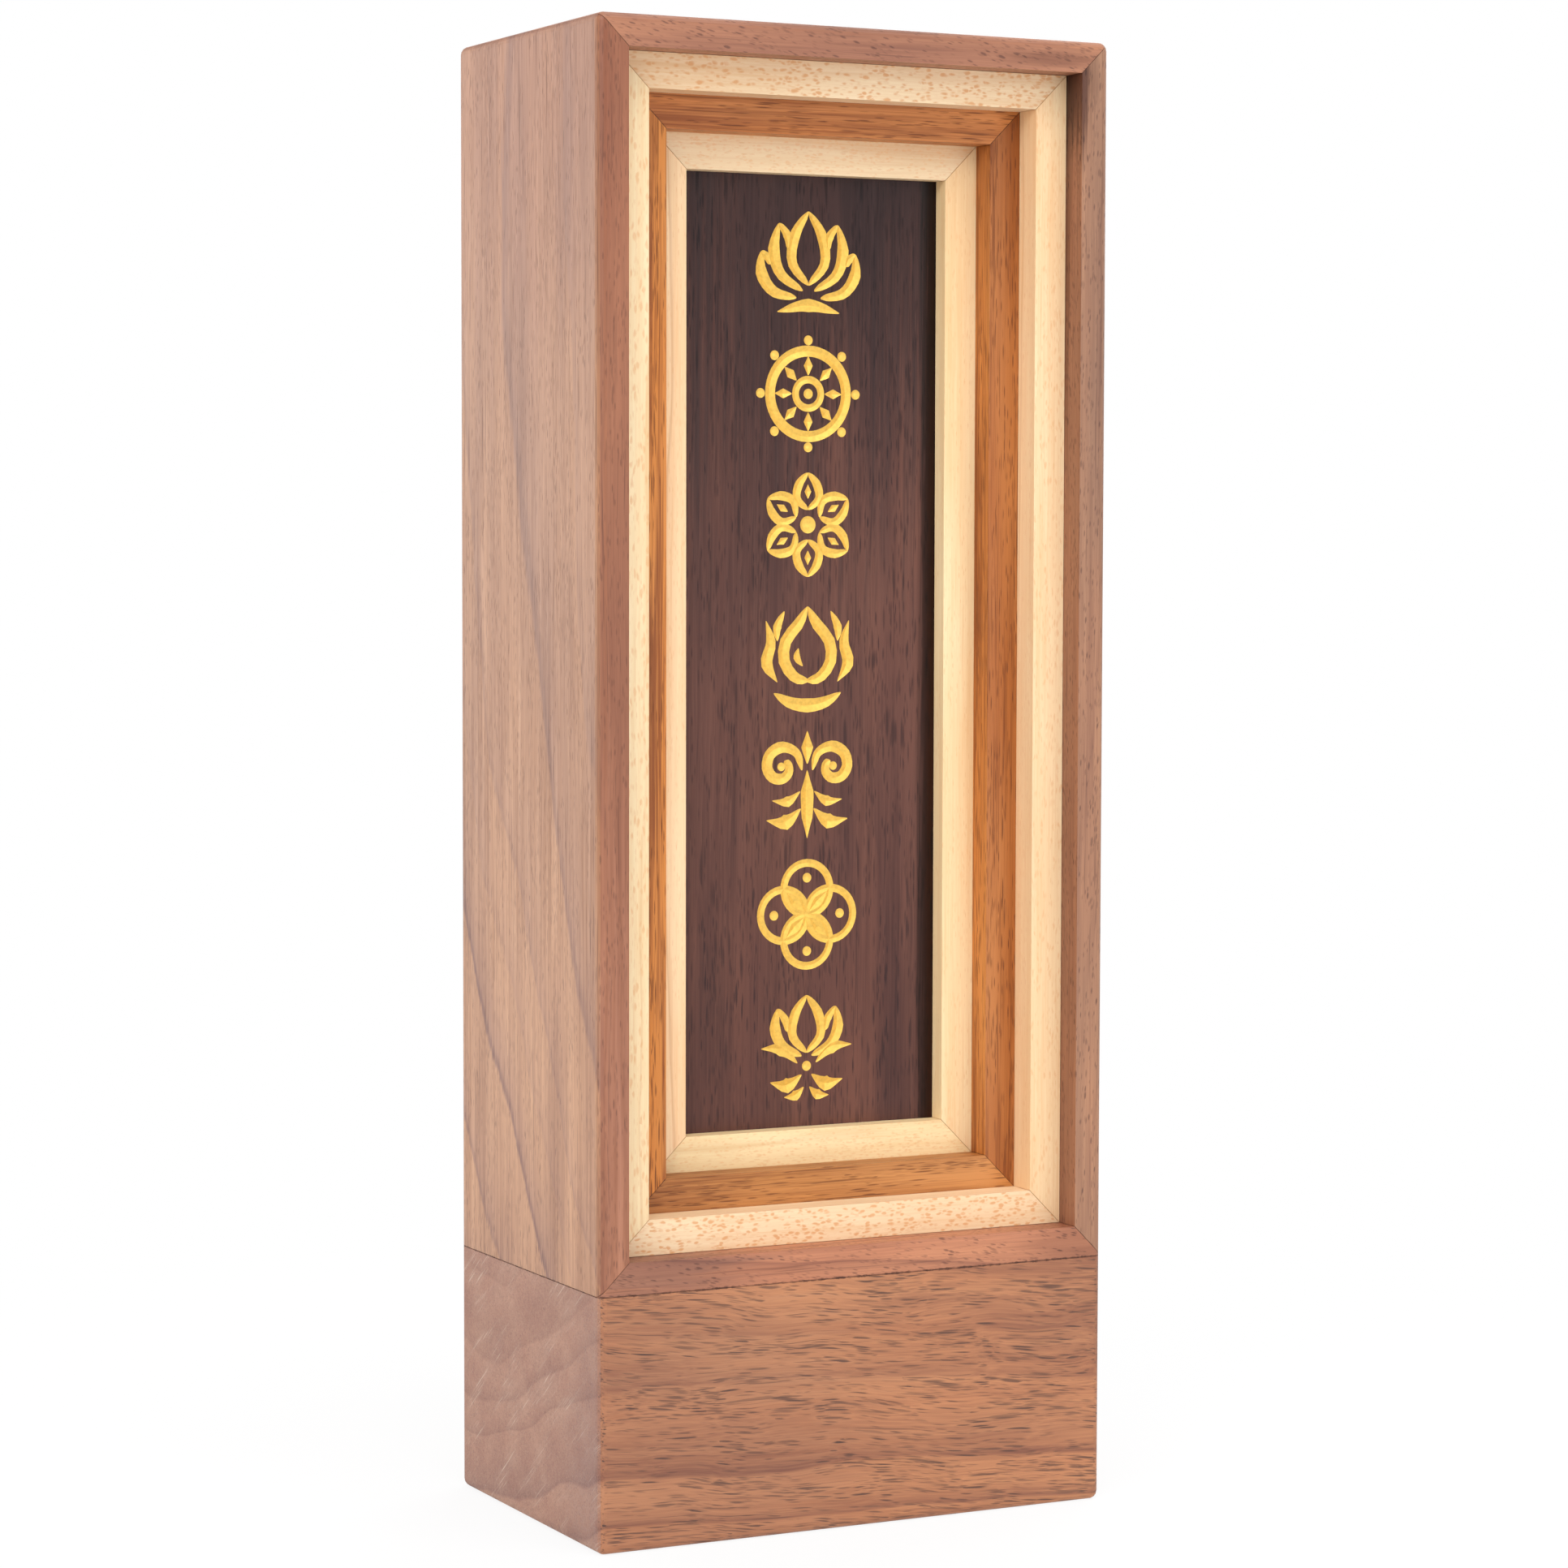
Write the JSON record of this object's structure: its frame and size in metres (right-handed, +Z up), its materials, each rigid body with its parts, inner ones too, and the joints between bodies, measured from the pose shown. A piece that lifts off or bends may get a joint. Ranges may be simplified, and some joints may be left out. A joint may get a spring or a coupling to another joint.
{
  "type": "buddhist memorial tablet",
  "caption": "Upright wooden memorial tablet: a walnut case on a solid base, stepped light and brown frames round a dark board, plain name boards behind it and a lift-out back panel.",
  "frame": {"origin": "centre of the underside of the base block", "axes": "+Z up, the framed front faces -Y, +X to the right seen from the front"},
  "size_m": [0.071, 0.044, 0.187],
  "materials": {
    "walnut": "satin",
    "maple": "satin",
    "brown_wood": "satin",
    "dark_wood": "satin",
    "white_wood": "matte",
    "beech": "matte",
    "nickel": "polished"
  },
  "bodies": {
    "case": {"base_block": "walnut", "case_left_board": "walnut", "case_right_board": "walnut", "case_top_board": "walnut", "case_bottom_board": "walnut", "base_dowel_left": "beech", "base_dowel_right": "beech", "front_frame_left": "maple", "front_frame_right": "maple", "front_frame_top": "maple", "front_frame_bottom": "maple", "middle_frame_left": "brown_wood", "middle_frame_right": "brown_wood", "middle_frame_top": "brown_wood", "middle_frame_bottom": "brown_wood", "inner_frame_left": "maple", "inner_frame_right": "maple", "inner_frame_top": "maple", "inner_frame_bottom": "maple", "liner_left": "brown_wood", "liner_right": "brown_wood", "liner_top": "brown_wood", "liner_bottom": "brown_wood", "liner_magnet_1": "nickel", "liner_magnet_2": "nickel", "liner_magnet_3": "nickel", "liner_magnet_4": "nickel"},
    "back_cover": {"back_panel": "walnut", "panel_magnet_1": "nickel", "panel_magnet_2": "nickel", "panel_magnet_3": "nickel", "panel_magnet_4": "nickel"},
    "front_board": {"dark_board": "dark_wood"},
    "board_1": {"name_board_1": "white_wood"},
    "board_2": {"name_board_2": "white_wood"},
    "board_3": {"name_board_3": "white_wood"},
    "board_4": {"name_board_4": "white_wood"},
    "board_5": {"name_board_5": "white_wood"},
    "board_6": {"name_board_6": "white_wood"},
    "board_7": {"name_board_7": "white_wood"},
    "board_8": {"name_board_8": "white_wood"}
  },
  "joints": [
    {"name": "back_cover_lift", "type": "slide", "parent": "case", "child": "back_cover", "axis": [0, 1, 0], "range_m": [0, 0.12]},
    {"name": "front_board_slide", "type": "slide", "parent": "case", "child": "front_board", "axis": [0, 1, 0], "range_m": [0, 0.0385]},
    {"name": "board_1_slide", "type": "slide", "parent": "case", "child": "board_1", "axis": [0, 1, 0], "range_m": [0, 0.0529]},
    {"name": "board_2_slide", "type": "slide", "parent": "case", "child": "board_2", "axis": [0, 1, 0], "range_m": [0, 0.0601]},
    {"name": "board_3_slide", "type": "slide", "parent": "case", "child": "board_3", "axis": [0, 1, 0], "range_m": [0, 0.0673]},
    {"name": "board_4_slide", "type": "slide", "parent": "case", "child": "board_4", "axis": [0, 1, 0], "range_m": [0, 0.0745]},
    {"name": "board_5_slide", "type": "slide", "parent": "case", "child": "board_5", "axis": [0, 1, 0], "range_m": [0, 0.0817]},
    {"name": "board_6_slide", "type": "slide", "parent": "case", "child": "board_6", "axis": [0, 1, 0], "range_m": [0, 0.0889]},
    {"name": "board_7_slide", "type": "slide", "parent": "case", "child": "board_7", "axis": [0, 1, 0], "range_m": [0, 0.0961]},
    {"name": "board_8_slide", "type": "slide", "parent": "case", "child": "board_8", "axis": [0, 1, 0], "range_m": [0, 0.1033]}
  ],
  "couplings": [
    {"joint": "front_board_slide", "follows": "back_cover_lift", "ratio": 0.32},
    {"joint": "board_1_slide", "follows": "back_cover_lift", "ratio": 0.44},
    {"joint": "board_2_slide", "follows": "back_cover_lift", "ratio": 0.5},
    {"joint": "board_3_slide", "follows": "back_cover_lift", "ratio": 0.56},
    {"joint": "board_4_slide", "follows": "back_cover_lift", "ratio": 0.62},
    {"joint": "board_5_slide", "follows": "back_cover_lift", "ratio": 0.68},
    {"joint": "board_6_slide", "follows": "back_cover_lift", "ratio": 0.74},
    {"joint": "board_7_slide", "follows": "back_cover_lift", "ratio": 0.8},
    {"joint": "board_8_slide", "follows": "back_cover_lift", "ratio": 0.86}
  ]
}
